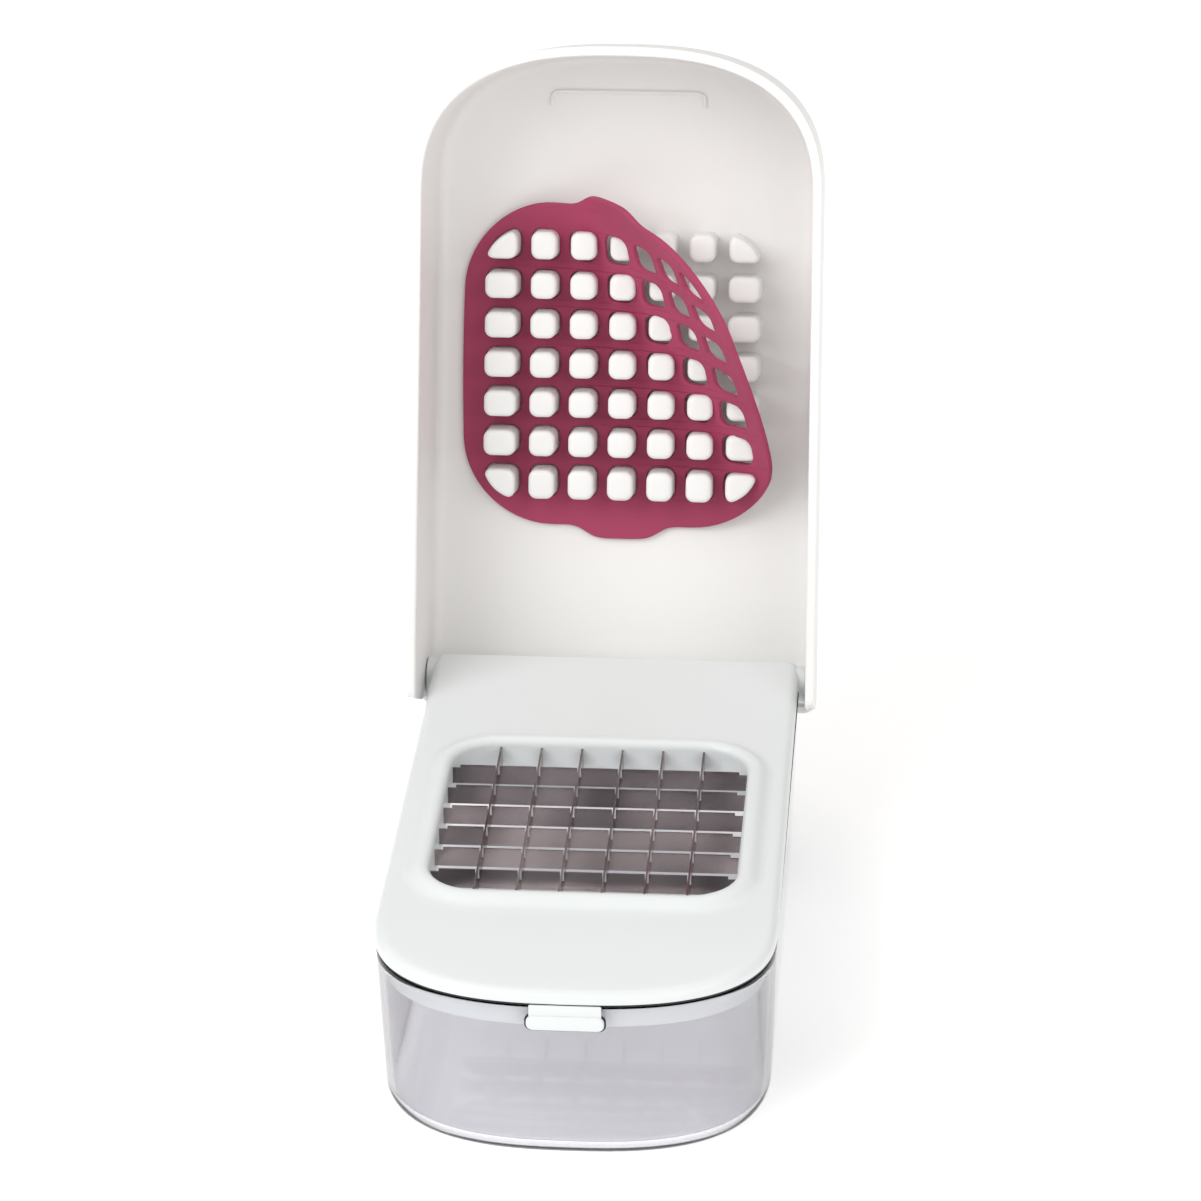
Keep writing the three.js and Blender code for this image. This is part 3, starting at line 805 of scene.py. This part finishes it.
def soften(points, spacing=0.35, reach=3):
    """Spreads a closed outline's points evenly and rounds its sharp turns."""
    closed = np.vstack([points, points[:1]])
    steps = np.linalg.norm(np.diff(closed, axis=0), axis=1)
    along = np.concatenate([[0], np.cumsum(steps)])
    fewest = 24
    count = max(fewest, int(along[-1] / spacing))
    at = np.linspace(0, along[-1], count, endpoint=False)
    even = np.column_stack([np.interp(at, along, closed[:, k]) for k in (0, 1)])
    neighbours = range(-reach, reach + 1)
    return sum(np.roll(even, shift, axis=0) for shift in neighbours) / len(neighbours)


def peg_outline(col, row, grow, radius):
    """A peg's section; corner pegs are cut round to follow the window's corners."""
    x0, x1, y0, y1 = peg_bounds(col, row)
    points = round_rect(x0 - grow, x1 + grow, y0 - grow, y1 + grow, radius, steps=6)
    if abs(col) == LAST_CELL and abs(row) == LAST_CELL:
        sx = math.copysign(1, col)
        sy = math.copysign(1, row)
        centre = np.array([sx * CORNER_X, CORNER_Y_REAR if row > 0 else CORNER_Y_FRONT])
        limit = CORNER_RADIUS + grow
        points = soften(points, 0.2, 0)
        for i, p in enumerate(points):
            rel = p - centre
            length = np.linalg.norm(rel)
            if rel[0] * sx > 0 and rel[1] * sy > 0 and length > limit:
                points[i] = centre + rel * limit / length
        points = soften(points)
    return points


CELL_RANGE = range(-LAST_CELL, LAST_CELL + 1)
CELLS = [(col, row) for col in CELL_RANGE for row in CELL_RANGE]


def build_pegs():
    """The pegs, each with a softened tip, on one plate let into the lid's ceiling."""
    peg_radius = 2.7
    plate_half = 47.8
    plate_radius = 12
    parts = []
    for col, row in CELLS:
        rings = []
        for z, inset in (
            (PEG_TIP - 0.05, 2.6), (PEG_TIP, 1.7), (PEG_TIP + 0.15, 1.0), (PEG_TIP + 0.45, 0.5),
            (PEG_TIP + 0.9, 0.2), (PEG_TIP + 1.6, 0.04), (PEG_TIP + 3, 0.0),
            (LID_CEILING + 0.3, -0.15),
        ):
            outline = peg_outline(col, row, 0.0, peg_radius)
            middle = outline.mean(axis=0)
            spread = np.abs(outline - middle).max(axis=0)
            scaled = middle + (outline - middle) * (1 - inset / spread)
            rings.append(at_height(scaled, z))
        parts.append(loft(rings))
    plate = round_rect(-plate_half, plate_half, -plate_half, plate_half, plate_radius)
    parts.append(loft([at_height(plate, z) for z in (LID_CEILING + 0.1, 70.3)]))
    verts, faces = joined(parts)
    return mesh_object("pusher_pegs", verts, faces, PEG_WHITE, SWING, sharp_deg=50)


pegs = build_pegs()
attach(pegs, "lid")
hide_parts("pusher_grid")


# ---- cleaning mat ----
MAT_MID = 68.1  # closed lid: height of the middle of the sheet
MAT_HALF_THICK = 0.9
MAT_EDGE = 0.4  # rounding of the sheet's edges
MAT_BOW = 0.035  # how much wider the sheet is at its middle, as a share
HOLE_GAP = 0.45  # from a peg to its hole
HOLE_RADIUS = 3.0
PEEL_LENGTH = float(np.linalg.norm(PEEL_B - PEEL_A))
PEEL_ALONG = (PEEL_B - PEEL_A) / PEEL_LENGTH
PEEL_ACROSS = np.array([PEEL_ALONG[1], -PEEL_ALONG[0]])
PEEL_START = -35.4  # where the sheet begins to lift, measured across the peel line
PEEL_FULL = 35.4  # where it reaches its full slope
PEEL_DEG = 66.0
PEG_CLEAR = 13.4  # how high the sheet is when it has cleared the pegs


def peel_curve():
    """Tables of place, height and slope of the lifted sheet against distance along it."""
    step = 0.1
    reach = 90  # beyond the sheet's far edge
    r = np.arange(PEEL_START - 1, reach, step)
    t = np.clip((r - PEEL_START) / (PEEL_FULL - PEEL_START), 0, 1)
    slope = np.radians(PEEL_DEG) * t * t * (3 - 2 * t)
    place = [r[0]]
    height = [0.0]
    for angle in slope[1:]:
        over_pegs = height[-1] > PEG_CLEAR
        forward = math.cos(angle) if over_pegs else (1 + math.cos(angle)) / 2
        place.append(place[-1] + step * forward)
        height.append(height[-1] + step * math.sin(angle))
    return r, np.array(place), np.array(height), slope


PEEL_TABLE = peel_curve()


def mat_outline():
    """The sheet's flat outline: round corners, bowed sides and a tab at each end."""
    radius = 28.0
    steps = 14
    corner = steps + 1  # points to a corner
    x0, x1, y0, y1 = -50.6, 50.6, -52.0, 53.1
    points = [tuple(p) for p in round_rect(x0, x1, y0, y1, radius, steps)]
    tab = [(17.5, 0.0), (15.4, 0.3), (13.6, 1.0), (12.0, 2.0), (10.4, 3.0), (8.6, 3.8), (6.4, 4.2)]
    tab.extend([(3.5, 4.3), (0, 4.3)])
    rear = [(x, y1 + out) for x, out in tab]
    rear.extend((-x, y1 + out) for x, out in reversed(tab[:-1]))
    front = [(x, y0 - out) for x, out in tab]
    front = [(-x, y) for x, y in front] + [(x, y) for x, y in reversed(front[:-1])]
    rear_part = points[:corner] + rear
    front_part = points[corner:3 * corner] + front + points[3 * corner:]
    loop = soften(np.array(rear_part + front_part), 0.8, 1)
    loop[:, 0] *= 1 + MAT_BOW * np.clip(1 - (loop[:, 1] / y1) ** 2, 0, 1)
    return [tuple(p) for p in loop]


def build_mat():
    """The sheet, drawn flat with a hole for each peg and then bent along the peel curve."""
    weld = 0.01
    longest_edge = 2.6
    most_splits = 4
    curve = bpy.data.curves.new("mat_outline", "CURVE")
    curve.dimensions = "2D"
    curve.fill_mode = "BOTH"
    curve.extrude = MAT_HALF_THICK - MAT_EDGE
    curve.bevel_depth = MAT_EDGE
    curve.bevel_resolution = 2
    curve.offset = -MAT_EDGE
    loops = [mat_outline()]
    for col, row in CELLS:
        loops.append([tuple(p) for p in peg_outline(col, row, HOLE_GAP, HOLE_RADIUS)])
    for loop in loops:
        spline = curve.splines.new("POLY")
        spline.points.add(len(loop) - 1)
        for point, (x, y) in zip(spline.points, loop):
            point.co = (x, y, 0, 1)
        spline.use_cyclic_u = True
    shape = bpy.data.objects.new("mat_outline", curve)
    bpy.context.scene.collection.objects.link(shape)
    depsgraph = bpy.context.evaluated_depsgraph_get()
    mesh = bpy.data.meshes.new_from_object(shape.evaluated_get(depsgraph))
    bpy.data.objects.remove(shape)
    work = bmesh.new()
    work.from_mesh(mesh)
    bmesh.ops.remove_doubles(work, verts=work.verts, dist=weld)
    bmesh.ops.triangulate(work, faces=work.faces)
    for _ in range(most_splits):
        long_edges = [e for e in work.edges if e.calc_length() > longest_edge]
        if not long_edges:
            break
        bmesh.ops.subdivide_edges(work, edges=long_edges, cuts=1)
        bmesh.ops.triangulate(work, faces=work.faces)
    table_r, table_place, table_height, table_slope = PEEL_TABLE
    for vert in work.verts:
        flat = np.array([vert.co.x, vert.co.y])
        r = float((flat - PEEL_A) @ PEEL_ACROSS)
        off = vert.co.z
        if r > PEEL_START:
            angle = float(np.interp(r, table_r, table_slope))
            place = float(np.interp(r, table_r, table_place)) - off * math.sin(angle)
            height = float(np.interp(r, table_r, table_height)) + off * math.cos(angle)
            flat = flat + PEEL_ACROSS * (place - r)
        else:
            height = off
        vert.co = (flat[0], flat[1], MAT_MID - height)
    verts = [tuple(v.co) for v in work.verts]
    work.verts.index_update()
    faces = [tuple(v.index for v in f.verts) for f in work.faces]
    work.free()
    return mesh_object("mat", verts, faces, PLUM, SWING, sharp_deg=60)


mat = build_mat()
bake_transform(mat)
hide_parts("cleaning_mat", "cleaning_mat_corner")


# ---- CAD pieces shown as they are ----
for node_name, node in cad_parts.items():
    if node_name.startswith("long_blade"):
        finish = LONG_STEEL
    elif node_name.startswith("cross_blade"):
        finish = CROSS_STEEL
    elif node_name == "tab_pin":
        finish = PIN_STEEL
    elif node_name.startswith("hinge_pin"):
        finish = WHITE
    else:
        continue
    node.data.materials.clear()
    node.data.materials.append(finish)


# ---- floor, light, camera ----
FLOOR_GLOW = 0.26
FLOOR_HALF = 4000.0
FLOOR_DROP = 0.0002  # metres


def build_floor():
    """A pale floor just under the container, which gives off a little light of its own."""
    half = FLOOR_HALF
    verts = [(-half, -half, 0), (half, -half, 0), (half, half, 0), (-half, half, 0)]
    material, shader = principled("floor", grey(0.93), 0.6)
    tone = noise(material, 0.8)
    ramp(material, tone, ((0.3, grey(0.925)), (0.7, grey(0.935))), shader.inputs["Base Color"])
    shader.inputs["Emission Color"].default_value = (1, 1, 1, 1)
    shader.inputs["Emission Strength"].default_value = FLOOR_GLOW
    floor = mesh_object("floor", verts, [(0, 1, 2, 3)], material)
    floor.location.z = -FLOOR_DROP
    return floor


floor = build_floor()


def area_light(name, place, target, size, power):
    """A square white light, in metres and watts, turned towards its target."""
    data = bpy.data.lights.new(name, "AREA")
    data.shape = "RECTANGLE"
    data.size = size
    data.size_y = size
    data.energy = power
    light = bpy.data.objects.new(name, data)
    bpy.context.scene.collection.objects.link(light)
    light.location = place
    light.rotation_euler = (Vector(target) - Vector(place)).to_track_quat("-Z", "Y").to_euler()


area_light("key", (-1.05, -0.9, 1.35), (0, 0.05, 0.08), 1.3, 18)
area_light("fill", (1.0, -1.2, 1.0), (0, 0.05, 0.12), 1.2, 7)
area_light("top", (0.0, 0.1, 1.9), (0, 0.0, 0.0), 1.4, 2)

# The sky is bright above and dimmer towards the horizon, which draws the clear plastic's edges.
SKY_LOW = (0.60, 0.59, 0.60)
SKY_HIGH = (1.0, 0.985, 0.965)
SKY_HIGH_FROM = 0.45  # how steep a direction is before the sky is at its brightest
SKY_STRENGTH = 0.70

world = bpy.data.worlds.new("studio")
world.use_nodes = True
world_nodes = world.node_tree.nodes
world_links = world.node_tree.links
sky_place = world_nodes.new("ShaderNodeTexCoord")
sky_parts = world_nodes.new("ShaderNodeSeparateXYZ")
background = world_nodes["Background"]
world_links.new(sky_place.outputs["Generated"], sky_parts.inputs["Vector"])
sky_stops = ((0.0, SKY_LOW), (SKY_HIGH_FROM, SKY_HIGH))
ramp(world, sky_parts, sky_stops, background.inputs["Color"], "Z")
background.inputs["Strength"].default_value = SKY_STRENGTH
bpy.context.scene.world = world

# Plain display, without a film curve, so that white plastic shows as white.
bpy.context.scene.view_settings.view_transform = "Standard"

CAMERA_LENS = 144.6
CAMERA_SENSOR = 36.0
CAMERA_PLACE = (0.1095, -1.2704, 0.7904)
CAMERA_AZ = math.radians(4.764)
CAMERA_EL = math.radians(27.238)
CAMERA_ROLL = math.radians(-0.744)

camera_data = bpy.data.cameras.new("camera")
camera_data.sensor_width = CAMERA_SENSOR
camera_data.lens = CAMERA_LENS
camera = bpy.data.objects.new("camera", camera_data)
bpy.context.scene.collection.objects.link(camera)
forward = Vector((
    -math.sin(CAMERA_AZ) * math.cos(CAMERA_EL),
    math.cos(CAMERA_AZ) * math.cos(CAMERA_EL),
    -math.sin(CAMERA_EL),
))
right = Vector((math.cos(CAMERA_AZ), math.sin(CAMERA_AZ), 0))
up = right.cross(forward)
turned_right = right * math.cos(CAMERA_ROLL) + up * math.sin(CAMERA_ROLL)
turned_up = up * math.cos(CAMERA_ROLL) - right * math.sin(CAMERA_ROLL)
rotation = Matrix((turned_right, turned_up, -forward)).transposed()
camera.matrix_world = Matrix.Translation(CAMERA_PLACE) @ rotation.to_4x4()
bpy.context.scene.camera = camera
